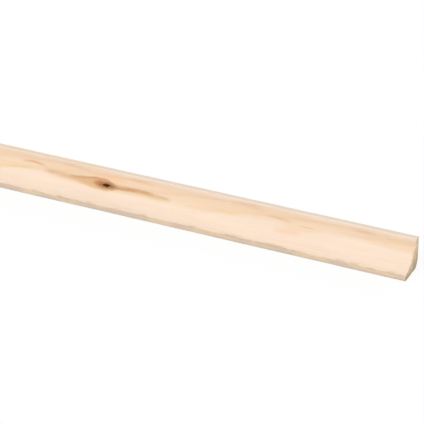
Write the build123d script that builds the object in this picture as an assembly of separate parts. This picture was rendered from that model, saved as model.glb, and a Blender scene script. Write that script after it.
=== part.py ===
from build123d import *
import os

# A planed softwood batten with a cove: straight stock in a square outline, with one hollow face
# between two flat lips, a relieved back corner and eased long edges. It is one sawn piece.
# Frame: +X runs along the batten, +Y points out of its back face, and +Z points up from its bottom face.
# The origin is the middle of the bottom of its box. Sizes are in millimetres.

# Driving dimensions
LENGTH = 1000.0  # a stock length for small battens
HEIGHT = 18.0  # bottom face to the top lip
DEPTH = 18.0  # back face to the front lip
TOP_LIP = 3.6  # width of the flat along the top of the back
FRONT_LIP = 3.6  # height of the flat along the front of the base
COVE_DEPTH = 3.8  # how far the hollow dips below a straight edge laid from lip to lip
CORNER_RELIEF = 2.8  # leg of the 45 degree bevel on the corner between back and bottom
ARRIS_RADIUS = 0.4  # easing that the planer leaves on every long edge


def cove_section():
    """The batten's cross section, drawn as it is seen from the +X end."""
    back = DEPTH / 2
    front = -DEPTH / 2
    top_lip_edge = (back - TOP_LIP, HEIGHT)
    front_lip_edge = (front, FRONT_LIP)
    with BuildSketch(Plane.YZ) as section:
        with BuildLine():
            Polyline(
                front_lip_edge,
                (front, 0),
                (back - CORNER_RELIEF, 0),
                (back, CORNER_RELIEF),
                (back, HEIGHT),
                top_lip_edge,
            )
            SagittaArc(top_lip_edge, front_lip_edge, COVE_DEPTH)
        make_face()
        fillet(section.vertices(), radius=ARRIS_RADIUS)
    return section.sketch


def cove_batten():
    """The section run out to the full length, half of it each side of the origin."""
    return extrude(cove_section(), amount=LENGTH / 2, both=True)


os.makedirs("parts", exist_ok=True)
export_step(cove_batten(), "parts/cove_batten.step")
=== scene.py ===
"""Looks of a softwood cove batten: its swept stock, its pine finishes and a plain studio around it.

The frame is the part's own: +X along the batten, +Y out of its back, +Z up from its bottom, in metres.
Places on the hollow face are given in millimetres as (along, across): along is X, and across runs over
the face from the edge of the top lip down to the edge of the front lip.
"""

import logging
import math
from collections.abc import Sequence
from dataclasses import dataclass, field
from enum import Enum
from functools import reduce

import bpy
import numpy as np
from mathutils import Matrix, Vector


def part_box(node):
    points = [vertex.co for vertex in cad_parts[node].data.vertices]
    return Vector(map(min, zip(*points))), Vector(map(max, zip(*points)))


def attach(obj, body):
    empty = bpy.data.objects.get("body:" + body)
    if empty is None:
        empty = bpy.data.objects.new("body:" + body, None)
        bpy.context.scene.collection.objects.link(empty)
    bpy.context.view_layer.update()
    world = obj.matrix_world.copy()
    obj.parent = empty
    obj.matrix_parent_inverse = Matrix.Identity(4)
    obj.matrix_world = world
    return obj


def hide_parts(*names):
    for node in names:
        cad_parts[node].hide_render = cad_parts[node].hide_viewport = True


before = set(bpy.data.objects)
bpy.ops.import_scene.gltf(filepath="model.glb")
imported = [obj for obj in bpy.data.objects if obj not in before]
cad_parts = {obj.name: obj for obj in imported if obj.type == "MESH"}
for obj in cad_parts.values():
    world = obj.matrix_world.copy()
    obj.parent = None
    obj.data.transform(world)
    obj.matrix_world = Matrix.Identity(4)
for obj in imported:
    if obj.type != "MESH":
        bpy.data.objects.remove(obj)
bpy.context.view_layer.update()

LOG = logging.getLogger("cove_batten")
MM = 0.001
NODE = "cove_batten"
PIECE = "planed_batten"

Socket = bpy.types.NodeSocket
Value = Socket | float | int | str | Sequence[float]
Colour = tuple[float, float, float]
Span = tuple[float, float]
WHITE: Colour = (1.0, 1.0, 1.0)


def linear(red: int, green: int, blue: int) -> Colour:
    """Turns a display colour into the linear one that a shader takes.

    Args:
        red: Red, 0 to 255.
        green: Green, 0 to 255.
        blue: Blue, 0 to 255.

    Returns:
        The linear colour, each part 0 to 1.
    """
    parts = (part / 255 for part in (red, green, blue))
    return tuple(p / 12.92 if p <= 0.04045 else ((p + 0.055) / 1.055) ** 2.4 for p in parts)


def put(name: str, data: bpy.types.ID) -> bpy.types.Object:
    """Makes an object and puts it into the scene.

    Args:
        name: The object's name.
        data: Its mesh, light or camera.

    Returns:
        The object.
    """
    made = bpy.data.objects.new(name, data)
    bpy.context.scene.collection.objects.link(made)
    return made


def aim(thing: bpy.types.Object, place: Vector, way: Vector) -> None:
    """Sets a lamp or a camera at a place, facing a way."""
    thing.location = place
    thing.rotation_euler = way.to_track_quat("-Z", "Y").to_euler()


class Slot(Enum):
    """The batten's two kinds of surface, in the order of its material slots."""

    PLANED = 0
    SAWN = 1


@dataclass(frozen=True)
class Waves:
    """A pattern of noise: its waves per metre along X, Y and Z, how many finer layers it has, and its own shift."""

    scale: tuple[float, float, float]
    detail: float
    shift: float


@dataclass(frozen=True)
class Patches:
    """Patches cut out of noise: they ease from low to high while the noise passes from start to end."""

    waves: Waves
    start: float
    end: float
    low: float = 0.0
    high: float = 1.0


@dataclass(frozen=True)
class Tint:
    """A colour that shows in patches."""

    colour: Colour
    spots: Patches


@dataclass(frozen=True)
class Layer:
    """A colour that shows by one of the knot's masks."""

    mask: str
    share: float
    colour: Colour


class Wiring:
    """Adds nodes to one node tree and links them."""

    NOISE_ROUGHNESS = 0.55
    NOISE_SHIFT = (1.0, 1.7, 0.6)

    def __init__(self, tree: bpy.types.NodeTree) -> None:
        """Keeps the tree that the nodes go into."""
        self.tree = tree

    def add(self, kind: str, **settings: object) -> bpy.types.Node:
        """Adds a node and sets its options.

        Args:
            kind: Blender's name for the type of node.
            settings: The node's options, by name.

        Returns:
            The new node.
        """
        node = self.tree.nodes.new(kind)
        for name, value in settings.items():
            setattr(node, name, value)
        return node

    def feed(self, socket: Socket, value: Value) -> None:
        """Links a socket to another one, or sets its plain value.

        Args:
            socket: The input to fill.
            value: An output to link, or a plain value.
        """
        if isinstance(value, Socket):
            self.tree.links.new(value, socket)
        else:
            socket.default_value = value

    def fill(self, node: bpy.types.Node, *values: Value, **named: Value) -> bpy.types.Node:
        """Feeds a node's inputs.

        Args:
            node: The node.
            values: What its first inputs take, in order.
            named: What its other inputs take, by name, with _ for a space.

        Returns:
            The node.
        """
        for socket, value in zip(node.inputs, values):
            self.feed(socket, value)
        for name, value in named.items():
            self.feed(node.inputs[name.replace("_", " ")], value)
        return node

    def math(self, operation: str, *values: Value, clamp: bool = False) -> Socket:
        """Adds a Math node.

        Args:
            operation: Blender's name for the operation.
            values: Its inputs in order.
            clamp: Whether the result is held between 0 and 1.

        Returns:
            The node's output.
        """
        return self.fill(self.add("ShaderNodeMath", operation=operation, use_clamp=clamp), *values).outputs[0]

    def product(self, *values: Value) -> Socket:
        """Multiplies numbers in turn."""
        return reduce(lambda so_far, value: self.math("MULTIPLY", so_far, value), values)

    def summed(self, start: Value, *terms: tuple[Value, float]) -> Socket:
        """Adds numbers to a first one, each times its own weight."""
        return reduce(lambda so_far, term: self.math("MULTIPLY_ADD", *term, so_far), terms, start)

    def centred(self, noise: Socket) -> Socket:
        """Moves noise from around 0.5 to around 0."""
        return self.math("SUBTRACT", noise, 0.5)

    def vector(self, operation: str, *values: Value) -> bpy.types.Node:
        """Adds a Vector Math node.

        Args:
            operation: Blender's name for the operation.
            values: Its inputs in order.

        Returns:
            The node, whose first output is a vector and whose Value output is a number.
        """
        return self.fill(self.add("ShaderNodeVectorMath", operation=operation), *values)

    def split(self, value: Value) -> tuple[Socket, Socket, Socket]:
        """Splits a vector into its X, Y and Z."""
        return tuple(self.fill(self.add("ShaderNodeSeparateXYZ"), value).outputs)

    def join(self, x: Value, y: Value, z: Value) -> Socket:
        """Joins three numbers into a vector."""
        return self.fill(self.add("ShaderNodeCombineXYZ"), x, y, z).outputs[0]

    def reach(self, x: Value, y: Value, z: Value) -> Socket:
        """Gives the length of the vector that three numbers make."""
        return self.vector("LENGTH", self.join(x, y, z)).outputs["Value"]

    def scaled(self, vector: Value, by: Value, plus: Value) -> Socket:
        """Gives vector times by, plus another vector."""
        return self.vector("MULTIPLY_ADD", vector, self.join(by, by, by), plus).outputs[0]

    def fade(self, value: Value, start: Value, end: Value, low: Value = 0.0, high: Value = 1.0) -> Socket:
        """Eases from one number to another while a value passes from start to end.

        Args:
            value: The value that is followed.
            start: Where the change starts.
            end: Where the change ends.
            low: The result up to start.
            high: The result from end on.

        Returns:
            The eased number.
        """
        node = self.add("ShaderNodeMapRange", interpolation_type="SMOOTHSTEP")
        return self.fill(node, value, start, end, low, high).outputs[0]

    def hump(self, value: Value, rise: tuple[Value, Value], fall: tuple[Value, Value]) -> Socket:
        """Rises from 0 to 1 over one stretch of a value, and falls back to 0 over a later one.

        Args:
            value: The value that is followed.
            rise: Where the rise starts and ends.
            fall: Where the fall starts and ends.

        Returns:
            The hump, 0 to 1.
        """
        return self.math("MULTIPLY", self.fade(value, *rise), self.fade(value, *fall, 1.0, 0.0))

    def looked_at(self) -> Socket:
        """Tells the camera's own rays, and those that gloss and glass send on, from the rays of soft light.

        Returns:
            1 for a ray that shows the background and 0 for one that only lights.
        """
        path = self.add("ShaderNodeLightPath").outputs
        shiny = self.math("MAXIMUM", path["Is Glossy Ray"], path["Is Transmission Ray"])
        return self.math("MAXIMUM", path["Is Camera Ray"], shiny)

    def noise(self, place: Value, waves: Waves) -> Socket:
        """Adds noise that is stretched along the axes.

        Args:
            place: The position that the noise is read at.
            waves: The noise's pattern.

        Returns:
            The noise, mostly between 0.25 and 0.75.
        """
        shift = tuple(waves.shift * by for by in self.NOISE_SHIFT)
        stretched = self.vector("MULTIPLY_ADD", place, waves.scale, shift).outputs[0]
        inputs = {"Vector": stretched, "Scale": 1.0, "Detail": waves.detail, "Roughness": self.NOISE_ROUGHNESS}
        return self.fill(self.add("ShaderNodeTexNoise"), **inputs).outputs[0]

    def patches(self, place: Value, spots: Patches) -> Socket:
        """Adds patches that are cut out of noise."""
        return self.fade(self.noise(place, spots.waves), spots.start, spots.end, spots.low, spots.high)

    def blend(self, share: Value, under: Value, over: Value) -> Socket:
        """Mixes two colours.

        Args:
            share: How much of the upper colour shows.
            under: The lower colour.
            over: The upper colour.

        Returns:
            The mixed colour.
        """
        node = self.add("ShaderNodeMix", data_type="RGBA")
        colours = [c if isinstance(c, Socket) else (*c, 1.0) for c in (under, over)]
        for socket, value in zip((node.inputs[0], node.inputs[6], node.inputs[7]), (share, *colours)):
            self.feed(socket, value)
        return node.outputs[2]

    def shade(self, colour: Socket, by: Socket) -> Socket:
        """Makes a colour lighter or darker, by what each of its parts is multiplied by."""
        return self.fill(self.vector("SCALE", colour), Scale=by).outputs[0]

    def bump(self, height: Socket, strength: float, distance: float) -> Socket:
        """Turns heights into the slope that a surface shows.

        Args:
            height: The surface's height, in shares of distance.
            strength: How much of the slope shows.
            distance: The relief's depth in metres.

        Returns:
            The sloped normal.
        """
        node = self.add("ShaderNodeBump")
        return self.fill(node, Strength=strength, Distance=distance, Height=height).outputs[0]

    def matt(self, colour: Colour) -> Socket:
        """Gives a matt shader of one colour."""
        return self.fill(self.add("ShaderNodeBsdfDiffuse"), Color=(*colour, 1.0)).outputs[0]

    def mixed(self, share: Value, under: Socket, over: Socket) -> Socket:
        """Mixes two shaders, of which the upper one shows by its share."""
        return self.fill(self.add("ShaderNodeMixShader"), share, under, over).outputs[0]

    def place(self, group: "NodeGroup", **values: Value) -> bpy.types.bpy_prop_collection:
        """Puts a shader group into this tree.

        Args:
            group: The group.
            values: Its inputs by name, with _ for a space.

        Returns:
            The group's outputs.
        """
        return self.fill(self.add("ShaderNodeGroup", node_tree=group.tree), **values).outputs


@dataclass(frozen=True)
class Port:
    """One named socket of a node group."""

    name: str
    kind: str = "NodeSocketFloat"


def numbers(*names: str) -> list[Port]:
    """Names sockets that take a number."""
    return [Port(name) for name in names]


VECTOR = "NodeSocketVector"
WHOLE = "NodeSocketInt"
GEOMETRY = "NodeSocketGeometry"
MATERIAL = "NodeSocketMaterial"


class NodeGroup(Wiring):
    """A node tree with named inputs and outputs."""

    def __init__(self, name: str, kind: str, inputs: Sequence[Port], outputs: Sequence[Port]) -> None:
        """Makes the tree and its sockets.

        Args:
            name: The tree's name.
            kind: ShaderNodeTree or GeometryNodeTree.
            inputs: The sockets that come in.
            outputs: The sockets that go out.
        """
        super().__init__(bpy.data.node_groups.new(name, kind))
        self.identifiers: dict[str, str] = {}
        for port in inputs:
            made = self.tree.interface.new_socket(port.name, in_out="INPUT", socket_type=port.kind)
            self.identifiers[port.name] = made.identifier
        for port in outputs:
            self.tree.interface.new_socket(port.name, in_out="OUTPUT", socket_type=port.kind)
        self.entry = self.add("NodeGroupInput").outputs
        self.exit = self.add("NodeGroupOutput").inputs

    def give(self, **values: Value) -> None:
        """Feeds the group's outputs by name."""
        for name, value in values.items():
            self.feed(self.exit[name], value)


class Finish(Wiring):
    """A new material's node tree, which reads the position on the piece."""

    def __init__(self, name: str) -> None:
        """Makes the material with its shader.

        Args:
            name: The material's name.
        """
        self.material = bpy.data.materials.new(name)
        self.material.use_nodes = True
        super().__init__(self.material.node_tree)
        self.position = self.add("ShaderNodeTexCoord").outputs["Object"]

    def tinted(self, colour: Value, tint: Tint) -> Socket:
        """Lays a patchy tint over a colour."""
        return self.blend(self.patches(self.position, tint.spots), colour, tint.colour)

    def dress(self, colour: Socket, roughness: Socket, normal: Socket, gloss: float) -> bpy.types.Material:
        """Feeds the shader.

        Args:
            colour: The surface's colour.
            roughness: Its roughness.
            normal: The way it faces.
            gloss: Its specular level, the same all over.

        Returns:
            The finished material.
        """
        shader = self.tree.nodes["Principled BSDF"]
        self.fill(shader, Base_Color=colour, Roughness=roughness, Normal=normal)
        shader.inputs["Specular IOR Level"].default_value = gloss
        return self.material


@dataclass(frozen=True)
class Outline:
    """The section as a closed ring of points, counter-clockwise seen from the +X end."""

    points: np.ndarray
    outward: np.ndarray
    arris: np.ndarray
    girth: np.ndarray


@dataclass(frozen=True)
class CoveSection:
    """The batten's cross section, at the sizes of the stock."""

    height: float = 18.0 * MM
    depth: float = 18.0 * MM
    top_lip: float = 3.6 * MM
    front_lip: float = 3.6 * MM
    cove_depth: float = 3.8 * MM
    corner_relief: float = 2.8 * MM
    arris_radius: float = 0.4 * MM
    arris_steps: int = 5
    arris_least: float = 0.4
    flat_step: float = 1.6 * MM
    edge_step: float = 0.35 * MM
    cove_step: float = 0.65 * MM
    knot_step: float = 0.3 * MM
    knot_band: Span = (5.4 * MM, 11.8 * MM)

    def cove_ends(self) -> tuple[np.ndarray, np.ndarray]:
        """Gives the hollow's two ends as (y, z), before the arrises are eased: top first, then front."""
        top = np.array([self.depth / 2 - self.top_lip, self.height])
        return top, np.array([-self.depth / 2, self.front_lip])

    def cove_radius(self) -> float:
        """Works out the radius of the hollow.

        Returns:
            The radius.
        """
        top, front = self.cove_ends()
        half = np.linalg.norm(top - front) / 2
        return float((half**2 + self.cove_depth**2) / (2 * self.cove_depth))

    def cove_axis(self) -> np.ndarray:
        """Works out the line that the hollow is round.

        Returns:
            The line's y and z.
        """
        top, front = self.cove_ends()
        run = front - top
        inward = np.array([-run[1], run[0]]) / np.linalg.norm(run)
        return (top + front) / 2 + inward * (self.cove_depth - self.cove_radius())

    def cove_start(self) -> float:
        """Gives the angle at the hollow's axis of the edge of the top lip."""
        side = self.cove_ends()[0] - self.cove_axis()
        return float(np.arctan2(side[1], side[0]))

    def on_cove(self, across: float) -> np.ndarray:
        """Gives the (y, z) of a place on the hollow face.

        Args:
            across: Metres over the face from the edge of the top lip.

        Returns:
            The place's y and z.
        """
        turn = self.cove_start() - across / self.cove_radius()
        return self.cove_axis() + self.cove_radius() * np.array([np.cos(turn), np.sin(turn)])

    def steps(self, length: float, step: float) -> np.ndarray:
        """Divides a flat, with a close step beside each arris.

        Args:
            length: The flat's width.
            step: The usual distance between two points.

        Returns:
            Distances along the flat, without its two ends.
        """
        inner = length - 2 * self.edge_step
        count = max(1, round(inner / step))
        return self.edge_step + np.linspace(0, inner, count + 1)

    def outline(self) -> Outline:
        """Draws the section with its eased arrises.

        Returns:
            The ring of points, starting on the relieved corner.
        """
        back, front, top = self.depth / 2, -self.depth / 2, self.height
        eased, relief = self.arris_radius, self.corner_relief
        axis, radius = self.cove_axis(), self.cove_radius()
        slant = eased * math.tan(math.pi / 8)
        out_to = radius + eased
        top_centre = np.array([axis[0] + math.sqrt(out_to**2 - (top - eased - axis[1]) ** 2), top - eased])
        front_centre = np.array([front + eased, axis[1] - math.sqrt(out_to**2 - (front + eased - axis[0]) ** 2)])
        to_axis = [math.atan2(*(axis - centre)[::-1]) for centre in (top_centre, front_centre)]
        turns = [
            (np.array([back - eased, relief + slant]), -math.pi / 4, 0.0),
            (np.array([back - eased, top - eased]), 0.0, math.pi / 2),
            (top_centre, math.pi / 2, to_axis[0]),
            (front_centre, to_axis[1], math.pi),
            (np.array([front + eased, eased]), math.pi, 1.5 * math.pi),
            (np.array([back - relief - slant, eased]), 1.5 * math.pi, 1.75 * math.pi),
        ]
        points: list[np.ndarray] = []
        outward: list[np.ndarray] = []
        arris: list[float] = []

        def add(place: np.ndarray, way: float, worn: float) -> None:
            """Adds one point.

            Args:
                place: Its y and z.
                way: The angle that points out of the wood there.
                worn: Its share of the arris wear.
            """
            points.append(place)
            outward.append(np.array([math.cos(way), math.sin(way)]))
            arris.append(worn)

        for index, (centre, start, end) in enumerate(turns):
            for way in np.linspace(start, end, self.arris_steps + 1):
                middle = 1 - abs(2 * (way - start) / (end - start) - 1)
                worn = self.arris_least + (1 - self.arris_least) * middle
                add(centre + eased * np.array([math.cos(way), math.sin(way)]), way, worn)
            after, leave, _ = turns[(index + 1) % len(turns)]
            here = points[-1]
            there = after + eased * np.array([math.cos(leave), math.sin(leave)])
            if centre is top_centre:
                for turn in self.cove_turns(here, there):
                    add(axis + radius * np.array([math.cos(turn), math.sin(turn)]), turn + math.pi, 0.0)
            else:
                width = float(np.linalg.norm(there - here))
                for distance in self.steps(width, self.flat_step):
                    add(here + (there - here) * distance / width, end, 0.0)
        ring = np.array(points)
        sides = np.linalg.norm(np.roll(ring, -1, axis=0) - ring, axis=1)
        girth = np.concatenate([[0.0], np.cumsum(sides)])
        return Outline(ring, np.array(outward), np.array(arris), girth)

    def cove_turns(self, here: np.ndarray, there: np.ndarray) -> np.ndarray:
        """Divides the hollow, finely where the knot lies.

        Args:
            here: The hollow's first point, at the top lip.
            there: Its last point, at the front lip.

        Returns:
            Angles at the hollow's axis, without its two ends.
        """
        start, end = (math.atan2(*(place - self.cove_axis())[::-1]) for place in (here, there))
        length = (start - end) * self.cove_radius()
        low, high = (edge - (self.cove_start() - start) * self.cove_radius() for edge in self.knot_band)
        final = length - self.edge_step
        spans = ((self.edge_step, low, self.cove_step), (low, high, self.knot_step), (high, final, self.cove_step))
        across = [np.linspace(a, b, max(2, round((b - a) / step)), endpoint=False) for a, b, step in spans]
        return start - np.append(np.concatenate(across), final) / self.cove_radius()


@dataclass(frozen=True)
class Knot:
    """The pin knot on the hollow face.

    Places and sizes are in millimetres. An edge says where a mark starts to fade and where it ends, in shares
    of the mark's size.
    """

    along: float = 318.7
    across: float = 8.6
    core: Span = (3.2, 1.12)
    core_edge: Span = (0.62, 1.0)
    collar: Span = (8.4, 3.0)
    collar_edge: Span = (0.25, 1.0)
    collar_point: float = 1.9
    halo: Span = (13.0, 4.2)
    halo_edge: Span = (0.15, 1.0)
    flush: Span = (5.6, 2.6)
    flush_edge: Span = (0.2, 1.0)
    flush_off: Span = (-4.6, -0.6)
    point: float = 1.3
    fray: float = 0.35
    waver: float = 0.9
    rings: float = 2.4
    ring_rise: Span = (0.35, 0.90)
    ring_fall: Span = (0.92, 1.0)
    check: Span = (5.2, 0.16)
    check_edge: Span = (0.4, 1.2)
    check_full: float = 0.3
    lens_start: float = 292.0
    lens_full: float = 313.0
    lens_closing: float = 1.0
    lens_end: float = 328.0
    lens_half: float = 3.1
    lens_least: float = 0.12
    lens_edge: Span = (0.72, 1.06)
    rim_rise: Span = (0.62, 0.90)
    rim_fall: Span = (0.92, 1.15)
    rim_side: Span = (-0.5, 1.5)
    rim_least: float = 0.15
    skin: Span = (0.6, 3.5)
    sunk: float = 0.22


@dataclass(frozen=True)
class Streak:
    """One line of darker grain on the hollow face, from start to end as (along, across) in millimetres."""

    start: Span
    end: Span
    bow: float
    width: float
    strength: float
    colour: Colour


BROWN = linear(190, 136, 88)
RESIN = linear(206, 160, 108)
ORANGE = linear(232, 178, 132)
PINK = linear(228, 174, 136)
YELLOW = linear(230, 204, 140)
AMBER = linear(252, 202, 160)

STREAKS: tuple[Streak, ...] = (
    Streak((264.0, 5.2), (279.0, 5.2), -0.8, 0.75, 0.80, PINK),
    Streak((273.0, 4.6), (286.0, 7.4), 0.0, 0.45, 0.30, RESIN),
    Streak((246.0, 11.3), (272.0, 7.9), 0.1, 0.60, 0.90, YELLOW),
    Streak((280.0, 8.2), (314.0, 9.6), 0.2, 1.50, 0.60, ORANGE),
    Streak((278.0, 7.8), (308.0, 7.6), -0.1, 1.15, 0.75, RESIN),
    Streak((295.0, 7.9), (318.0, 5.8), 0.2, 0.85, 0.80, BROWN),
    Streak((294.0, 7.8), (316.0, 11.4), -0.4, 0.90, 0.45, RESIN),
    Streak((314.0, 9.2), (360.0, 9.2), -0.3, 1.30, 0.35, ORANGE),
    Streak((310.0, 8.9), (348.0, 7.7), -0.1, 1.15, 0.90, RESIN),
    Streak((330.0, 7.8), (359.0, 9.0), -0.2, 0.90, 0.85, RESIN),
    Streak((333.0, 7.8), (344.0, 7.8), 0.0, 0.80, 0.15, BROWN),
    Streak((343.0, 9.6), (356.0, 9.7), 0.0, 0.65, 0.90, YELLOW),
    Streak((322.0, 11.3), (344.0, 9.3), -0.1, 0.70, 0.20, ORANGE),
    Streak((309.0, 4.6), (332.0, 5.2), -0.5, 1.60, 0.75, AMBER),
    Streak((300.0, 7.8), (318.0, 7.6), 0.0, 1.50, 1.00, RESIN),
    Streak((312.0, 9.7), (338.0, 8.0), 0.0, 0.90, 0.85, BROWN),
    Streak((288.0, 2.2), (309.0, 2.6), -0.3, 0.90, 0.35, PINK),
    Streak((331.0, 2.4), (347.0, 2.8), -0.2, 0.90, 0.45, ORANGE),
    Streak((393.0, 2.2), (416.0, 3.2), -0.4, 1.50, 0.30, PINK),
    Streak((386.0, 8.6), (401.0, 8.1), 0.0, 0.60, 0.80, YELLOW),
    Streak((415.0, 5.1), (430.0, 6.0), -0.1, 0.65, 0.42, RESIN),
    Streak((420.0, 11.3), (437.0, 11.0), 0.0, 2.30, 0.34, ORANGE),
    Streak((434.0, 7.0), (444.0, 6.8), 0.0, 0.45, 0.35, RESIN),
    Streak((462.0, 2.2), (479.0, 2.8), -0.1, 1.05, 0.32, RESIN),
    Streak((474.0, 3.2), (493.0, 3.8), 0.0, 0.75, 0.28, YELLOW),
    Streak((205.0, 9.8), (238.0, 7.4), 0.2, 0.60, 0.50, RESIN),
    Streak((120.0, 10.2), (166.0, 6.6), 0.3, 0.70, 0.55, RESIN),
    Streak((30.0, 9.4), (78.0, 6.2), 0.2, 0.65, 0.50, ORANGE),
    Streak((-74.0, 10.4), (-20.0, 6.8), 0.2, 0.70, 0.60, RESIN),
    Streak((-196.0, 9.0), (-140.0, 5.6), 0.3, 0.70, 0.50, PINK),
    Streak((-312.0, 10.6), (-252.0, 6.6), 0.2, 0.65, 0.60, RESIN),
    Streak((-430.0, 9.6), (-372.0, 5.8), 0.3, 0.75, 0.50, ORANGE),
)

TAN_EDGE_SEEN: tuple[Span, ...] = (
    (240.0, 9.0), (247.0, 11.6), (254.0, 11.0), (264.0, 9.4), (275.0, 8.4), (282.0, 8.0), (288.0, 8.8),
    (298.0, 9.4), (306.0, 10.6), (313.0, 11.7), (320.0, 11.6), (330.0, 10.4), (342.0, 10.0), (352.0, 10.5),
    (360.0, 9.4), (376.0, 10.3), (390.0, 9.5), (404.0, 8.5), (418.0, 7.5), (424.0, 7.4), (430.0, 9.8),
    (436.0, 10.0), (444.0, 8.2), (454.0, 6.4), (464.0, 6.2), (476.0, 7.4), (488.0, 8.4), (500.0, 8.6),
)
TAN_EDGE_UNSEEN: tuple[Span, ...] = (
    (-500.0, 7.0), (-442.0, 5.2), (-426.0, 9.6), (-366.0, 6.0), (-318.0, 5.4), (-304.0, 10.4), (-250.0, 7.0),
    (-200.0, 5.8), (-188.0, 9.6), (-132.0, 6.2), (-84.0, 5.4), (-68.0, 10.2), (-14.0, 7.2), (22.0, 6.4),
    (36.0, 9.8), (84.0, 6.8), (112.0, 6.0), (126.0, 10.2), (172.0, 7.0), (198.0, 6.4), (210.0, 10.0), (240.0, 9.0),
)


class GrainGroups:
    """The shader groups that both finishes share, built once for one section."""

    RING_SWAY = Waves((9.0, 60.0, 60.0), 2.0, 3.1)
    RING_RISE = (0.40, 0.93)
    RING_FALL = (0.94, 1.0)
    FINE = Waves((22.0, 1900.0, 1900.0), 3.0, 1.3)
    BROAD = Waves((5.0, 240.0, 240.0), 3.0, 5.2)
    DUCTS = Patches(Waves((110.0, 2600.0, 2600.0), 1.0, 9.4), 0.70, 0.76)
    STREAK_TAPER = 0.7

    def __init__(self, section: CoveSection, knot: Knot) -> None:
        """Builds every group.

        Args:
            section: The batten's section.
            knot: The knot on its hollow face.
        """
        self.section = section
        self.knot = knot
        self.cove = self.cove_frame()
        self.rings = self.growth_rings()
        self.fibre = self.fibres()
        self.streak = self.streak_line()
        self.pin_knot = self.knot_masks()

    def cove_frame(self) -> NodeGroup:
        """Builds the group that tells where a point lies by the hollow face, in millimetres.

        Returns:
            The group.
        """
        outputs = numbers("Along", "Across", "Depth")
        group = NodeGroup("Cove frame", "ShaderNodeTree", [Port("Position", VECTOR)], outputs)
        axis, radius = self.section.cove_axis(), self.section.cove_radius()
        x, y, z = group.split(group.entry["Position"])
        side, rise = group.math("SUBTRACT", y, float(axis[0])), group.math("SUBTRACT", z, float(axis[1]))
        turn = group.math("SUBTRACT", self.section.cove_start(), group.math("ARCTAN2", rise, side))
        into = group.math("SUBTRACT", group.reach(0.0, side, rise), radius)
        group.give(
            Along=group.math("DIVIDE", x, MM),
            Across=group.math("MULTIPLY", turn, radius / MM),
            Depth=group.math("DIVIDE", into, MM),
        )
        return group

    def growth_rings(self) -> NodeGroup:
        """Builds the group for the year rings, which run round a pith outside the batten and lean along it.

        Returns:
            The group.
        """
        places = [Port(name, VECTOR) for name in ("Position", "Pith", "Lean")]
        group = NodeGroup("Growth rings", "ShaderNodeTree", places + numbers("Pitch", "Wander"), numbers("Late"))
        entry, position = group.entry, group.entry["Position"]
        x, _, _ = group.split(position)
        pith = group.scaled(entry["Lean"], x, entry["Pith"])
        _, side, rise = group.split(group.vector("SUBTRACT", position, pith).outputs[0])
        sway = group.centred(group.noise(position, self.RING_SWAY))
        reach = group.math("MULTIPLY_ADD", sway, entry["Wander"], group.reach(0.0, side, rise))
        phase = group.math("FRACT", group.math("DIVIDE", reach, entry["Pitch"]))
        group.give(Late=group.hump(phase, self.RING_RISE, self.RING_FALL))
        return group

    def fibres(self) -> NodeGroup:
        """Builds the group for the fine fibre along the batten and its short dark resin ducts.

        Returns:
            The group.
        """
        outputs = numbers("Fine", "Broad", "Ducts")
        group = NodeGroup("Fibre", "ShaderNodeTree", [Port("Position", VECTOR)], outputs)
        position = group.entry["Position"]
        group.give(
            Fine=group.noise(position, self.FINE),
            Broad=group.noise(position, self.BROAD),
            Ducts=group.patches(position, self.DUCTS),
        )
        return group

    def streak_line(self) -> NodeGroup:
        """Builds the group for one streak, which thins out to nothing at both ends.

        Returns:
            The group.
        """
        inputs = numbers("Along", "Across", "Start", "Length", "From", "Rise", "Bow", "Width")
        group = NodeGroup("Grain streak", "ShaderNodeTree", inputs, numbers("Mask"))
        entry = group.entry
        share = group.math("DIVIDE", group.math("SUBTRACT", entry["Along"], entry["Start"]), entry["Length"])
        rest = group.math("SUBTRACT", 1.0, share)
        hump = group.math("MULTIPLY", group.math("MULTIPLY", share, 4.0), rest, clamp=True)
        line = group.math("MULTIPLY_ADD", share, entry["Rise"], entry["From"])
        line = group.math("MULTIPLY_ADD", hump, entry["Bow"], line)
        off = group.math("DIVIDE", group.math("SUBTRACT", entry["Across"], line), entry["Width"])
        fall = group.math("EXPONENT", group.product(off, off, -1.0))
        group.give(Mask=group.math("MULTIPLY", fall, group.math("POWER", hump, self.STREAK_TAPER)))
        return group

    def knot_masks(self) -> NodeGroup:
        """Builds the group for the knot: the lens of grain round it, its brown collar and its dark core.

        Returns:
            The group.
        """
        inputs = numbers("Along", "Across", "Depth", "Ragged")
        masks = numbers("Lens", "Rim", "Halo", "Collar", "Flush", "Core", "Rings", "Check")
        group = NodeGroup("Pin knot", "ShaderNodeTree", inputs, masks)
        knot, along, ragged = self.knot, group.entry["Along"], group.entry["Ragged"]
        across = group.math("MULTIPLY_ADD", ragged, knot.waver, group.entry["Across"])
        off = group.math("SUBTRACT", across, knot.across)
        ahead = group.math("SUBTRACT", along, knot.along)
        opening, closing = (knot.lens_start, knot.lens_full), (knot.along - knot.lens_closing, knot.lens_end)
        swell = group.hump(along, opening, closing)
        half = group.math("MULTIPLY_ADD", swell, knot.lens_half, knot.lens_least)
        ratio = group.math("DIVIDE", group.math("ABSOLUTE", off), half)
        shallow = group.fade(group.entry["Depth"], *knot.skin, 1.0, 0.0)
        inside = group.fade(ratio, *knot.lens_edge, 1.0, 0.0)
        one_side = group.fade(off, *knot.rim_side, 1.0, knot.rim_least)
        rim = group.hump(ratio, knot.rim_rise, knot.rim_fall)

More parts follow.
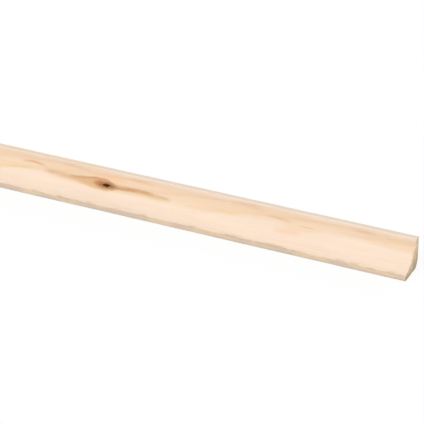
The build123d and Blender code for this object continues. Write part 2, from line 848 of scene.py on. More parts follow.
        def oval(size: Span, shift: Span = (0.0, 0.0), point: float = knot.point) -> Socket:
            """Gives how far out a point lies in a ragged oval at the knot.

            Args:
                size: The oval's half length and half width.
                shift: Where its middle lies from the knot's.
                point: How pointed its ends are: 1 for a diamond, 2 for an ellipse.

            Returns:
                0 at the oval's middle and 1 on its edge.
            """
            parts = [group.math("ABSOLUTE", group.math("SUBTRACT", part, by)) for part, by in zip((ahead, off), shift)]
            parts = [group.math("POWER", group.math("DIVIDE", part, by), point) for part, by in zip(parts, size)]
            ring = group.math("POWER", group.math("ADD", *parts), 1 / point)
            return group.math("MULTIPLY_ADD", ragged, knot.fray, ring)

        def faded(reach: Socket, edge: Span) -> Socket:
            """Fades from 1 to 0 over an edge, near the hollow face only."""
            return group.math("MULTIPLY", shallow, group.fade(reach, *edge, 1.0, 0.0))

        heart, collar = oval(knot.core), faded(oval(knot.collar, point=knot.collar_point), knot.collar_edge)
        phase = group.math("FRACT", group.math("MULTIPLY", heart, knot.rings))
        length, width = knot.check
        wavy = group.math("ABSOLUTE", group.math("MULTIPLY_ADD", ragged, knot.waver, off))
        split = group.fade(group.math("ABSOLUTE", ahead), knot.check_full * length, length, 1.0, 0.0)
        group.give(
            Lens=group.product(swell, shallow, inside),
            Rim=group.product(rim, one_side, swell, shallow),
            Halo=faded(oval(knot.halo), knot.halo_edge),
            Collar=collar,
            Flush=faded(oval(knot.flush, knot.flush_off), knot.flush_edge),
            Core=faded(heart, knot.core_edge),
            Rings=group.math("MULTIPLY", group.hump(phase, knot.ring_rise, knot.ring_fall), collar),
            Check=group.math("MULTIPLY", split, faded(group.math("DIVIDE", wavy, width), knot.check_edge)),
        )
        return group


@dataclass(frozen=True)
class Rings:
    """How the year rings lie in the batten, in metres."""

    pitch: float = 2.5 * MM
    pith: tuple[float, float, float] = (0.0, -45.0 * MM, 70.0 * MM)
    lean: tuple[float, float, float] = (0.0, -0.026, 0.030)
    wander: float = 2.2 * MM

    def late(self, mat: Finish, groups: GrainGroups) -> Socket:
        """Puts the rings into a material.

        Args:
            mat: The material's tree.
            groups: The groups that the rings are one of.

        Returns:
            1 in the dark late wood of a year and 0 in its early wood.
        """
        outputs = mat.place(
            groups.rings, Position=mat.position, Pitch=self.pitch, Pith=self.pith, Lean=self.lean, Wander=self.wander
        )
        return outputs["Late"]


@dataclass(frozen=True)
class GrainReading:
    """What the planed finish reads at a point: its place by the hollow face in millimetres, and its masks."""

    along: Socket
    across: Socket
    depth: Socket
    on_face: Socket
    ragged: Socket
    late: Socket
    fibre: bpy.types.bpy_prop_collection
    knot: bpy.types.bpy_prop_collection


@dataclass(frozen=True)
class PlanedPine:
    """The planed long faces: pale and tan pine, with the grain's streaks, the knot, fine fibre and handling."""

    groups: GrainGroups
    rings: Rings = Rings()
    sway: Waves = Waves((60.0, 300.0, 300.0), 3.0, 2.2)
    sway_reach: float = 0.9
    face_depth: Span = (0.3, 1.6)
    ragged: Waves = Waves((420.0, 900.0, 900.0), 4.0, 7.7)
    pale: Colour = linear(244, 222, 202)
    tan: Colour = linear(244, 216, 186)
    tan_soft: float = 1.5
    tan_slant: float = 0.35
    tan_by_lip: Span = (0.2, 3.0)
    tan_least: float = 0.2
    curve_reach: float = 25.0
    # Painted highlight: a paler strip just under the top lip, where the eased arris catches light.
    painted_highlight: Colour = linear(250, 228, 208)
    painted_highlight_share: Span = (0.2, 0.85)
    painted_highlight_fade: Span = (0.6, 2.6)
    late: Colour = linear(226, 184, 140)
    late_in_tan: float = 0.18
    late_depth: Span = (0.5, 2.5)
    late_share: Span = (0.05, 0.22)
    drift: Waves = Waves((38.0, 330.0, 330.0), 3.0, 4.9)
    drifts: tuple[Tint, ...] = (
        Tint(linear(244, 214, 190), Patches(drift, 0.50, 0.72, 0.0, 0.35)),
        Tint(linear(243, 219, 187), Patches(drift, 0.28, 0.50, 0.35, 0.0)),
    )
    broken: Patches = Patches(Waves((110.0, 650.0, 650.0), 3.0, 6.1), 0.34, 0.64, 0.55, 1.0)
    core: Colour = linear(78, 38, 0)
    knot_layers: tuple[Layer, ...] = (
        Layer("Lens", 0.72, linear(228, 186, 138)),
        Layer("Rim", 0.55, linear(186, 138, 94)),
        Layer("Halo", 0.75, linear(208, 158, 110)),
        Layer("Collar", 0.70, linear(146, 94, 54)),
        Layer("Flush", 0.70, linear(194, 124, 84)),
        Layer("Rings", 0.35, core),
    )
    lip_skin: Span = (0.2 * MM, 0.7 * MM)
    lip_edge: Span = (-0.2 * MM, 0.5 * MM)
    greyed: tuple[Colour, Colour] = (linear(222, 201, 178), linear(218, 203, 189))
    greyed_share: float = 0.85
    greyed_along: Span = (300.0, 350.0)
    greyed_inset: float = 0.35 * MM
    soiled: tuple[Colour, Colour] = (linear(254, 228, 191), linear(236, 213, 192))
    soiled_share: float = 0.8
    cloud: Patches = Patches(Waves((55.0, 160.0, 160.0), 3.0, 3.6), 0.40, 0.60)
    blush: Tint = Tint(linear(251, 213, 186), Patches(Waves((90.0, 260.0, 260.0), 2.0, 8.3), 0.52, 0.66, 0.0, 0.7))
    grime: Tint = Tint(linear(196, 166, 134), Patches(Waves((130.0, 330.0, 330.0), 2.0, 9.4), 0.47, 0.67, 0.0, 0.42))
    grime_reach: Span = (0.3 * MM, 1.7 * MM)
    duct: Colour = linear(196, 150, 104)
    duct_share: float = 0.22
    fine_shade: float = 0.10
    broad_shade: float = 0.09
    roughness: float = 0.50
    fibre_rough: float = 0.16
    late_rough: float = -0.06
    core_rough: float = 0.40
    ripple_pitch: float = 1.7 * MM
    ripple_height: float = 0.06
    fibre_height: float = 0.9
    late_height: float = 0.25
    core_height: float = 4.0
    check_height: float = -3.0
    relief_share: float = 0.35
    relief_depth: float = 0.04 * MM
    gloss: float = 0.12

    def read(self, mat: Finish) -> GrainReading:
        """Puts the shared groups into the material.

        Args:
            mat: The material's tree.

        Returns:
            What they tell about a point.
        """
        groups, position = self.groups, mat.position
        cove = mat.place(groups.cove, Position=position)
        along, depth = cove["Along"], cove["Depth"]
        sway = mat.centred(mat.noise(position, self.sway))
        across = mat.math("MULTIPLY_ADD", sway, self.sway_reach, cove["Across"])
        ragged = mat.centred(mat.noise(position, self.ragged))
        return GrainReading(
            along=along,
            across=across,
            depth=depth,
            on_face=mat.fade(depth, *self.face_depth, 1.0, 0.0),
            ragged=ragged,
            late=self.rings.late(mat, groups),
            fibre=mat.place(groups.fibre, Position=position),
            knot=mat.place(groups.pin_knot, Along=along, Across=across, Depth=depth, Ragged=ragged),
        )

    def tan_edge(self, mat: Finish, along: Socket, points: Sequence[Span]) -> Socket:
        """Follows a stretch of the edge between the tan and the pale zone.

        Args:
            mat: The material's tree.
            along: Millimetres along the batten.
            points: The edge's places, as (along, across).

        Returns:
            The edge's millimetres across.
        """
        first, last = points[0][0], points[-1][0]
        node = mat.add("ShaderNodeFloatCurve")
        curve = node.mapping.curves[0]
        while len(curve.points) < len(points):
            curve.points.new(0.5, 0.5)
        for handle, (x, edge) in zip(curve.points, points):
            handle.location = ((x - first) / (last - first), edge / self.curve_reach)
            handle.handle_type = "AUTO_CLAMPED"
        node.mapping.update()
        mat.fill(node, Value=mat.math("DIVIDE", mat.math("SUBTRACT", along, first), last - first, clamp=True))
        return mat.math("MULTIPLY", node.outputs[0], self.curve_reach)

    def tan_share(self, mat: Finish, at: GrainReading) -> Socket:
        """Works out how tan the wood is, from the edge between its tan and pale zones.

        Args:
            mat: The material's tree.
            at: What is known of the point.

        Returns:
            1 in the tan zone and 0 in the pale one.
        """
        seen, unseen = (self.tan_edge(mat, at.along, points) for points in (TAN_EDGE_SEEN, TAN_EDGE_UNSEEN))
        in_view = mat.math("GREATER_THAN", at.along, TAN_EDGE_SEEN[0][0])
        edge = mat.math("MULTIPLY_ADD", in_view, mat.math("SUBTRACT", seen, unseen), unseen)
        low, high = (mat.math("ADD", edge, by) for by in (-self.tan_soft, self.tan_soft))
        deep = mat.math("MULTIPLY_ADD", at.depth, self.tan_slant, at.across)
        # Tan fades out under the top lip, leaving a paler strip there: part of the painted highlight under the lip.
        under_lip = mat.fade(at.across, *self.tan_by_lip, self.tan_least, 1.0)
        return mat.math("MULTIPLY", mat.fade(deep, low, high, 1.0, 0.0), under_lip)

    def wood(self, mat: Finish, at: GrainReading) -> Socket:
        """Colours the bare wood (its tan and pale zones, year rings, streaks and the knot) and paints a highlight
        under the top lip.

        Args:
            mat: The material's tree.
            at: What is known of the point.

        Returns:
            The colour.
        """
        tan = self.tan_share(mat, at)
        colour = mat.blend(tan, self.pale, self.tan)
        # Painted highlight under the top lip, stronger towards the +X end.
        share = mat.fade(at.along, *self.greyed_along, *self.painted_highlight_share)
        painted_highlight = mat.math("MULTIPLY", mat.fade(at.across, *self.painted_highlight_fade, share, 0.0), at.on_face)
        colour = mat.blend(painted_highlight, colour, self.painted_highlight)
        shown = mat.math("MULTIPLY_ADD", tan, self.late_in_tan, mat.fade(at.depth, *self.late_depth, *self.late_share))
        colour = mat.blend(mat.math("MULTIPLY", at.late, shown), colour, self.late)
        for tint in self.drifts:
            colour = mat.tinted(colour, tint)
        broken = mat.math("MULTIPLY", mat.patches(mat.position, self.broken), at.on_face)
        for streak in STREAKS:
            (start, first), (end, last) = streak.start, streak.end
            mask = mat.place(
                self.groups.streak, Along=at.along, Across=at.across, Start=start, Length=end - start,
                From=first, Rise=last - first, Bow=streak.bow, Width=streak.width,
            )["Mask"]
            colour = mat.blend(mat.product(mask, broken, streak.strength), colour, streak.colour)
        for layer in self.knot_layers:
            colour = mat.blend(mat.math("MULTIPLY", at.knot[layer.mask], layer.share), colour, layer.colour)
        return mat.blend(mat.math("MAXIMUM", at.knot["Core"], at.knot["Check"]), colour, self.core)

    def lip(self, mat: Finish, below: Socket, within: Socket) -> Socket:
        """Marks one of the two lips, from a point's metres below its flat and within its edge."""
        return mat.math("MULTIPLY", mat.fade(below, *self.lip_skin, 1.0, 0.0), mat.fade(within, *self.lip_edge))

    def handled(self, mat: Finish, at: GrainReading, colour: Socket) -> Socket:
        """Greys the top lip, most by the right end, soils the front lip in patches and dirties the edge over it.

        Args:
            mat: The material's tree.
            at: What is known of the point.
            colour: The colour of the bare wood.

        Returns:
            The colour with the marks of handling on it.
        """
        section = self.groups.section
        _, y, z = mat.split(mat.position)
        within = mat.math("SUBTRACT", y, section.depth / 2 - section.top_lip + self.greyed_inset)
        top = self.lip(mat, mat.math("SUBTRACT", section.height, z), within)
        greyed = mat.blend(mat.fade(at.along, *self.greyed_along), *self.greyed)
        colour = mat.blend(mat.math("MULTIPLY", top, self.greyed_share), colour, greyed)
        behind, under = mat.math("ADD", y, section.depth / 2), mat.math("SUBTRACT", section.front_lip, z)
        front = mat.math("MULTIPLY", self.lip(mat, behind, under), self.soiled_share)
        soiled = mat.blend(mat.patches(mat.position, self.cloud), *self.soiled)
        colour = mat.blend(front, colour, mat.tinted(soiled, self.blush))
        arris = mat.fade(mat.reach(0.0, behind, under), *self.grime_reach, 1.0, 0.0)
        grime = mat.math("MULTIPLY", arris, mat.patches(mat.position, self.grime.spots))
        return mat.blend(grime, colour, self.grime.colour)

    def relief(self, mat: Finish, at: GrainReading) -> Socket:
        """Works out the fine relief: planer ripple, fibre, hard late wood, and the knot's rough core and check.

        Args:
            mat: The material's tree.
            at: What is known of the point.

        Returns:
            The height, in shares of the relief's depth.
        """
        x, _, _ = mat.split(mat.position)
        ripple = mat.math("SINE", mat.math("MULTIPLY", x, 2 * math.pi / self.ripple_pitch))
        return mat.summed(
            mat.math("MULTIPLY", ripple, self.ripple_height),
            (at.fibre["Fine"], self.fibre_height),
            (at.late, self.late_height),
            (mat.math("MULTIPLY", at.knot["Core"], at.ragged), self.core_height),
            (at.knot["Check"], self.check_height),
        )

    def build(self) -> bpy.types.Material:
        """Makes the material.

        Returns:
            The finished material.
        """
        mat = Finish("planed_pine")
        at = self.read(mat)
        fine, broad = at.fibre["Fine"], at.fibre["Broad"]
        colour = self.handled(mat, at, self.wood(mat, at))
        colour = mat.blend(mat.math("MULTIPLY", at.fibre["Ducts"], self.duct_share), colour, self.duct)
        shade = mat.summed(1.0, (mat.centred(fine), self.fine_shade), (mat.centred(broad), self.broad_shade))
        rough = mat.summed(
            self.roughness, (fine, self.fibre_rough), (at.late, self.late_rough), (at.knot["Core"], self.core_rough)
        )
        normal = mat.bump(self.relief(mat, at), self.relief_share, self.relief_depth)
        return mat.dress(mat.shade(colour, shade), rough, normal, self.gloss)


@dataclass(frozen=True)
class SawnEndGrain:
    """The sawn ends: year rings as arcs, open end grain, the marks of the saw and dirt in the lower corner.

    Heights on the end are shares of the section's height.
    """

    groups: GrainGroups
    rings: Rings = Rings()
    speckle: Waves = Waves((300.0, 4200.0, 4200.0), 3.0, 4.4)
    blotch: Waves = Waves((50.0, 260.0, 260.0), 3.0, 6.3)
    chatter: Waves = Waves((1100.0, 60.0, 60.0), 2.0, 8.8)
    blade_axis: Span = (70.0 * MM, 118.0 * MM)
    early: Colour = linear(244, 219, 184)
    late: Colour = linear(208, 166, 120)
    late_share: float = 0.55
    stains: tuple[Tint, ...] = (
        Tint(linear(172, 134, 94), Patches(speckle, 0.56, 0.70, 0.0, 0.40)),
        Tint(linear(186, 154, 116), Patches(blotch, 0.48, 0.72, 0.0, 0.45)),
    )
    fresh_rise: Span = (0.45, 0.80)
    fresh_share: float = 0.45
    dirty: Colour = linear(146, 132, 110)
    dirty_share: float = 0.60
    dirty_reach: float = 4.6 * MM
    dirty_fray: float = 3.0 * MM
    clean_rise: Span = (0.40, 0.75)
    clean_back: float = 2.4 * MM
    scorch: Span = (3.6 * MM, 3.6 * MM)
    scorch_share: float = 0.42
    scorch_reach: Span = (0.88 * MM, 4.4 * MM)
    scorch_fray: float = 4.0 * MM
    chatter_shade: float = 0.40
    chatter_height: float = 1.6
    roughness: float = 0.72
    speckle_rough: float = 0.2
    relief_share: float = 0.5
    relief_depth: float = 0.08 * MM
    gloss: float = 0.2

    def raised(self, mat: Finish, rise: Span, high: float) -> Socket:
        """Eases from 0 to a number while a point's height on the end passes through a rise.

        Args:
            mat: The material's tree.
            rise: Where the change starts and ends.
            high: The number above the rise.

        Returns:
            The eased number.
        """
        _, _, z = mat.split(mat.position)
        start, end = (share * self.groups.section.height for share in rise)
        return mat.fade(z, start, end, 0.0, high)

    def off(self, mat: Finish, middle: Span) -> Socket:
        """Gives a point's distance on the end from a middle at (y, z).

        Args:
            mat: The material's tree.
            middle: The place that is measured from.

        Returns:
            The distance in metres.
        """
        _, y, z = mat.split(mat.position)
        return mat.reach(0.0, *(mat.math("SUBTRACT", part, by) for part, by in zip((y, z), middle)))

    def dirt(self, mat: Finish) -> tuple[Socket, Socket]:
        """Works out where dirt lies: along the lower edges, and in a scorched spot by the hollow.

        Args:
            mat: The material's tree.

        Returns:
            The share of dirt along the edges and in the spot.
        """
        section = self.groups.section
        _, y, z = mat.split(mat.position)
        uneven = mat.centred(mat.noise(mat.position, self.blotch))
        to_back = mat.math("SUBTRACT", section.depth / 2, y)
        to_corner = mat.math("SUBTRACT", mat.math("ADD", to_back, z), section.corner_relief)
        to_corner = mat.math("DIVIDE", to_corner, math.sqrt(2))
        kept_clean = mat.math("ADD", to_back, self.raised(mat, self.clean_rise, self.clean_back))
        inside = mat.math("MINIMUM", mat.math("MINIMUM", kept_clean, z), to_corner)
        ragged = mat.math("MULTIPLY_ADD", uneven, self.dirty_fray, inside)
        soiled = mat.fade(ragged, 0.0, self.dirty_reach, self.dirty_share, 0.0)
        ragged = mat.math("MULTIPLY_ADD", uneven, self.scorch_fray, self.off(mat, self.scorch))
        return soiled, mat.fade(ragged, *self.scorch_reach, self.scorch_share, 0.0)

    def build(self) -> bpy.types.Material:
        """Makes the material.

        Returns:
            The finished material.
        """
        mat = Finish("sawn_end_grain")
        x, y, _ = mat.split(mat.position)
        speckle = mat.noise(mat.position, self.speckle)
        chatter = mat.noise(mat.join(self.off(mat, self.blade_axis), y, x), self.chatter)
        late = mat.math("MULTIPLY", self.rings.late(mat, self.groups), self.late_share)
        colour = mat.blend(late, self.early, self.late)
        for tint in self.stains:
            colour = mat.tinted(colour, tint)
        colour = mat.blend(self.raised(mat, self.fresh_rise, self.fresh_share), colour, self.early)
        for share in self.dirt(mat):
            colour = mat.blend(share, colour, self.dirty)
        shade = mat.summed(1.0, (mat.centred(chatter), self.chatter_shade))
        rough = mat.summed(self.roughness, (speckle, self.speckle_rough))
        height = mat.summed(speckle, (chatter, self.chatter_height))
        normal = mat.bump(height, self.relief_share, self.relief_depth)
        return mat.dress(mat.shade(colour, shade), rough, normal, self.gloss)


@dataclass(frozen=True)
class Lattice:
    """The sweep's flat grid and what is known of its points: a row is a station, a column a point of the section."""

    mesh: Socket
    index: Socket
    column: Socket
    held: Socket
    last: Socket
    past: Socket
    inset: Socket
    at_end: Socket


class SweepTree(NodeGroup):
    """Geometry nodes that run the section out over the stations, close both ends and add their loose fibres."""

    INPUTS = (
        Port("Geometry", GEOMETRY),
        Port("Columns", WHOLE),
        Port("Rows", WHOLE),
        Port("End rings", WHOLE),
        Port("Heart", VECTOR),
        *numbers("Arris wear", "Saw relief", "Length"),
        *numbers("Edge chips", "Torn depth", "Torn from", "Torn to", "Edge reach"),
        Port("Knot", VECTOR),
        Port("Knot reach", VECTOR),
        *numbers("Knot sunk", "Fibre share", "Fibre length", "Fibre width"),
        Port("Seed", WHOLE),
        Port("Planed", MATERIAL),
        Port("Sawn", MATERIAL),
    )
    INSET_POWER = 1.4
    INSET_LEAST = 0.0001
    AT_END = 0.99999
    WELD = 0.0005 * MM
    SHARP_ANGLE = math.radians(40)
    WEAR = Patches(Waves((70.0, 120.0, 120.0), 2.0, 0.8), 0.38, 0.70)
    KNOT_GRAIN = Waves((520.0, 1300.0, 1300.0), 3.0, 7.7)
    KNOT_FRAY = 0.5
    DISH_EDGE = (0.35, 1.15)
    SAW_LINES = Waves((5.0, 180.0, 900.0), 2.0, 2.6)
    CHIPS = Patches(Waves((3.0, 420.0, 420.0), 2.0, 5.5), 0.50, 0.68)
    CHIP_INSET = 0.15
    TORN = Patches(Waves((3.0, 620.0, 620.0), 3.0, 1.9), 0.32, 0.62, 0.3, 1.0)
    TORN_FADE = 2.5 * MM
    TORN_FACING = -0.25
    FIBRE_ROOT = -0.25
    FIBRE_ROLL = 0.4
    FIBRE_LEAN = 0.5
    FIBRE_LEAST = 0.25
    FIBRE_SIDES = 4

    def __init__(self) -> None:
        """Builds the tree: a grid is bent to the batten, marked, welded, given fibres and painted."""
        super().__init__("Cove batten sweep", "GeometryNodeTree", self.INPUTS, [Port("Geometry", GEOMETRY)])
        lattice = self.lattice()
        marked = self.marked(self.shaped(lattice), lattice)
        welded = self.through("GeometryNodeMergeByDistance", marked, Distance=self.WELD)
        turned = self.through("GeometryNodeFlipFaces", welded)
        joined = self.add("GeometryNodeJoinGeometry")
        for geometry in (self.fibres(turned), self.shaded(turned)):
            self.feed(joined.inputs[0], geometry)
        real = self.through("GeometryNodeRealizeInstances", joined.outputs[0])
        planed = self.painted(real, "Planed", True)
        self.give(Geometry=self.painted(planed, "Sawn", self.attribute("INT", "sawn")))

    def through(self, kind: str, geometry: Socket, options: dict[str, str] | None = None, **values: Value) -> Socket:
        """Sends geometry through a node.

        Args:
            kind: Blender's name for the type of node.
            geometry: What goes in.
            options: The node's options, by name.
            values: The node's other inputs by name, with _ for a space.

        Returns:
            What comes out.
        """
        return self.fill(self.add(kind, **(options or {})), geometry, **values).outputs[0]

    def attribute(self, kind: str, name: str) -> Socket:
        """Reads a named attribute of one type."""
        node = self.add("GeometryNodeInputNamedAttribute", data_type=kind)
        return self.fill(node, Name=name).outputs["Attribute"]

    def sample(self, kind: str, value: Socket, index: Socket) -> Socket:
        """Reads a field of the drawn section and stations, of one type, at the point of a number."""
        options = {"data_type": kind, "domain": "POINT"}
        return self.through("GeometryNodeSampleIndex", self.entry["Geometry"], options, Value=value, Index=index)

    def stored(self, geometry: Socket, domain: str, kind: str, name: str, value: Socket) -> Socket:
        """Writes a field to a named attribute, of one type, on the points or the faces."""
        options = {"domain": domain, "data_type": kind}
        return self.through("GeometryNodeStoreNamedAttribute", geometry, options, Name=name, Value=value)

    def row(self, index: Socket, width: Value) -> Socket:
        """Gives the row that a number falls in, where each row holds width numbers."""
        return self.math("FLOOR", self.math("DIVIDE", self.math("ADD", index, 0.5), width))

    def lattice(self) -> Lattice:
        """Makes the flat grid: the stations, with rings of points past each end that close it.

        Returns:
            The grid and the numbers of its points.
        """
        entry = self.entry
        around = self.math("ADD", entry["Columns"], 1.0)
        lengthwise = self.math("MULTIPLY_ADD", entry["End rings"], 2.0, entry["Rows"])
        grid = self.fill(self.add("GeometryNodeMeshGrid"), Vertices_X=lengthwise, Vertices_Y=around)
        index = self.add("GeometryNodeInputIndex").outputs[0]
        row = self.row(index, around)
        column = self.math("SUBTRACT", index, self.math("MULTIPLY", row, around))
        last = self.math("SUBTRACT", entry["Rows"], 1.0)
        station = self.math("SUBTRACT", row, entry["End rings"])
        past = self.math("MAXIMUM", self.math("SUBTRACT", 0.0, station), self.math("SUBTRACT", station, last))
        past = self.math("MAXIMUM", past, 0.0)
        held = self.math("MINIMUM", self.math("MAXIMUM", station, 0.0), last)
        from_middle = self.math("SUBTRACT", self.math("MULTIPLY", self.math("DIVIDE", held, last), 2.0), 1.0)
        return Lattice(
            mesh=grid.outputs["Mesh"],
            index=index,
            column=self.math("MODULO", column, entry["Columns"]),
            held=held,
            last=last,
            past=past,
            inset=self.math("POWER", self.math("DIVIDE", past, entry["End rings"]), self.INSET_POWER),
            at_end=self.math("GREATER_THAN", self.math("ABSOLUTE", from_middle), self.AT_END),
        )

    def shaped(self, lattice: Lattice) -> Socket:
        """Bends the grid to the batten: the section at each station, its wear and its broken sawn ends.

        Args:
            lattice: The flat grid.

        Returns:
            The batten, still open along one seam.
        """
        entry, column = self.entry, lattice.column
        position = self.add("GeometryNodeInputPosition").outputs[0]
        point = self.sample("FLOAT_VECTOR", position, column)
        outward = self.sample("FLOAT_VECTOR", self.attribute("FLOAT_VECTOR", "outward"), column)
        arris = self.sample("FLOAT", self.attribute("FLOAT", "arris"), column)
        x, _, _ = self.split(self.sample("FLOAT_VECTOR", position, self.math("ADD", lattice.held, entry["Columns"])))
        inward = self.vector("SUBTRACT", entry["Heart"], point).outputs[0]
        ring = self.scaled(inward, lattice.inset, point)
        placed = self.vector("ADD", ring, self.join(x, 0.0, 0.0)).outputs[0]
        moved = self.vector("ADD", placed, self.worn(placed, outward, arris, lattice.inset)).outputs[0]
        cut = self.math("ADD", self.sawn(placed, lattice.at_end), self.broken(placed, outward, x, lattice.inset))
        cut = self.math("MULTIPLY", cut, self.math("MULTIPLY", self.math("SIGN", x), -1.0))
        moved = self.vector("ADD", moved, self.join(cut, 0.0, 0.0)).outputs[0]
        return self.through("GeometryNodeSetPosition", lattice.mesh, Position=moved)

    def marked(self, geometry: Socket, lattice: Lattice) -> Socket:
        """Numbers the faces, and marks the sawn ones and the points on the rims of the ends.

        Args:
            geometry: The bent grid.
            lattice: What is known of its points.

        Returns:
            The grid with its marks.
        """
        strip = self.row(lattice.index, self.entry["Columns"])
        strip = self.math("SUBTRACT", strip, self.entry["End rings"])
        before_last = self.math("LESS_THAN", strip, lattice.last)
        long_face = self.math("MULTIPLY", self.math("GREATER_THAN", strip, -0.5), before_last)
        rim = self.math("MULTIPLY", lattice.at_end, self.math("LESS_THAN", lattice.past, 0.5))
        geometry = self.stored(geometry, "FACE", "INT", "face_number", lattice.index)
        geometry = self.stored(geometry, "FACE", "INT", "sawn", self.math("SUBTRACT", 1.0, long_face))
        return self.stored(geometry, "POINT", "FLOAT", "rim", rim)

    def worn(self, placed: Socket, outward: Socket, arris: Socket, inset: Socket) -> Socket:
        """Works out how far the planed surface is worn back: its arrises unevenly, and the knot's sunk core.

        Args:
            placed: The point on the plain section.
            outward: The way out of the wood there.
            arris: How much of an arris the point is.
            inset: How far inside a sawn end it lies.

        Returns:
            The offset of the point.
        """
        entry = self.entry
        wear = self.product(self.patches(placed, self.WEAR), arris, entry["Arris wear"])
        off = self.vector("DIVIDE", self.vector("SUBTRACT", placed, entry["Knot"]).outputs[0], entry["Knot reach"])
        reach = self.vector("LENGTH", off.outputs[0]).outputs["Value"]
        grain = self.centred(self.noise(placed, self.KNOT_GRAIN))
        ragged = self.math("MULTIPLY_ADD", grain, self.KNOT_FRAY, reach)
        dish = self.math("MULTIPLY", self.fade(ragged, *self.DISH_EDGE, 1.0, 0.0), entry["Knot sunk"])
        sunk = self.math("MULTIPLY", self.math("ADD", wear, dish), self.math("LESS_THAN", inset, self.INSET_LEAST))
        return self.scaled(outward, self.math("MULTIPLY", sunk, -1.0), (0.0, 0.0, 0.0))

    def sawn(self, placed: Socket, at_end: Socket) -> Socket:
        """Works out how far the saw's lines lie below a flat end, from a point on it and a mark of the ends."""
        return self.product(self.noise(placed, self.SAW_LINES), self.entry["Saw relief"], at_end)

    def broken(self, placed: Socket, outward: Socket, x: Socket, inset: Socket) -> Socket:
        """Works out how far the edge of a sawn end is broken away: small chips, and fibres torn off the hollow face.

        Args:
            placed: The point on the plain batten.
            outward: The way out of the wood there.
            x: Its place along the batten.
            inset: How far inside an end it lies, 0 at the edge.

        Returns:
            The depth into the wood.
        """
        entry = self.entry
        _, _, z = self.split(placed)
        _, facing, _ = self.split(outward)
        band = self.hump(
            z,
            (entry["Torn from"], self.math("ADD", entry["Torn from"], self.TORN_FADE)),
            (self.math("SUBTRACT", entry["Torn to"], self.TORN_FADE), entry["Torn to"]),
        )
        on_hollow = self.math("LESS_THAN", facing, self.TORN_FACING)
        torn = self.product(self.patches(placed, self.TORN), band, on_hollow)
        depth = self.math("MULTIPLY", self.patches(placed, self.CHIPS), entry["Edge chips"])
        depth = self.math("MULTIPLY_ADD", torn, entry["Torn depth"], depth)
        from_end = self.math("SUBTRACT", self.math("MULTIPLY", entry["Length"], 0.5), self.math("ABSOLUTE", x))
        near = self.math("SUBTRACT", 1.0, self.math("DIVIDE", from_end, entry["Edge reach"]), clamp=True)
        outer = self.math("SUBTRACT", 1.0, self.math("DIVIDE", inset, self.CHIP_INSET), clamp=True)
        return self.math("MULTIPLY", depth, self.math("MULTIPLY", near, outer))

    def shaded(self, geometry: Socket) -> Socket:
        """Shades the long faces smooth up to the edges of the sawn ends.

        Args:
            geometry: The welded batten.

        Returns:
            The batten with its smooth and sharp edges set.
        """
        kind = "GeometryNodeSetShadeSmooth"
        smooth = self.through(kind, geometry, {"domain": "FACE"}, Shade_Smooth=True)
        angle = self.add("GeometryNodeInputMeshEdgeAngle").outputs["Unsigned Angle"]
        sharp = self.math("GREATER_THAN", angle, self.SHARP_ANGLE)
        return self.through(kind, smooth, {"domain": "EDGE"}, Selection=sharp, Shade_Smooth=False)

    def painted(self, geometry: Socket, finish: str, chosen: Value) -> Socket:
        """Sets the material of a named input on the chosen faces."""
        return self.through("GeometryNodeSetMaterial", geometry, Selection=chosen, Material=self.entry[finish])

    def random(self, low: Value, high: Value, shift: int) -> Socket:
        """Gives a random number for each point, from the tree's seed.

        Args:
            low: The least number.
            high: The greatest number.
            shift: Which of the point's random numbers it is.

        Returns:
            The number.
        """
        node = self.add("FunctionNodeRandomValue", data_type="FLOAT")
        self.feed(node.inputs[2], low)
        self.feed(node.inputs[3], high)
        self.fill(node, Seed=self.math("ADD", self.entry["Seed"], float(shift)))
        return node.outputs[1]

    def fibres(self, geometry: Socket) -> Socket:
        """Stands short loose fibres on the edges of both sawn ends.

        Args:
            geometry: The welded batten, with its rim marked.

        Returns:
            The fibres as instances.
        """
        entry = self.entry
        rim = self.math("GREATER_THAN", self.attribute("FLOAT", "rim"), 0.5)
        x, y, z = self.split(self.add("GeometryNodeInputPosition").outputs[0])
        _, heart_y, heart_z = self.split(entry["Heart"])
        shown = self.math("MULTIPLY", self.math("GREATER_THAN", z, heart_z), self.math("LESS_THAN", y, heart_y))
        few = self.math("LESS_THAN", self.random(0.0, 1.0, 1), entry["Fibre share"])
        chosen = self.product(rim, shown, few)
        roots = self.through("GeometryNodeMeshToPoints", geometry, {"mode": "VERTICES"}, Selection=chosen)
        for name in ("face_number", "sawn", "rim"):
            roots = self.through("GeometryNodeRemoveAttribute", roots, Name=name)
        needle = self.add("GeometryNodeMeshCone", fill_type="NGON")
        self.fill(needle, Vertices=self.FIBRE_SIDES, Radius_Top=0.0)
        self.fill(needle, Radius_Bottom=entry["Fibre width"], Depth=entry["Fibre length"])
        sunk = self.join(0.0, 0.0, self.math("MULTIPLY", entry["Fibre length"], self.FIBRE_ROOT))
        rooted = self.through("GeometryNodeTransform", needle.outputs["Mesh"], Translation=sunk)
        one = self.add("FunctionNodeInputInt", integer=1).outputs[0]
        roll = self.random(-self.FIBRE_ROLL, self.FIBRE_ROLL, 2)
        lean = self.random(-self.FIBRE_LEAN, self.FIBRE_LEAN, 3)
        out_of_end = self.math("MULTIPLY_ADD", self.math("SIGN", x), math.pi / 2, lean)
        return self.through(
            "GeometryNodeInstanceOnPoints",
            roots,
            Instance=self.stored(rooted, "FACE", "INT", "fibre", one),
            Rotation=self.join(roll, out_of_end, 0.0),
            Scale=self.join(1.0, 1.0, self.random(self.FIBRE_LEAST, 1.0, 4)),
        )


def read_list(rows: bpy.types.bpy_prop_collection, name: str, width: int = 1, kind: type = np.int32) -> np.ndarray:
    """Reads one property of every row of a mesh's list.

    Args:
        rows: The list.
        name: The property.
        width: How many numbers it has in a row.
        kind: The type of its numbers.

    Returns:
        The numbers, row after row.
    """
    values = np.zeros(len(rows) * width, kind)
    rows.foreach_get(name, values)
    return values


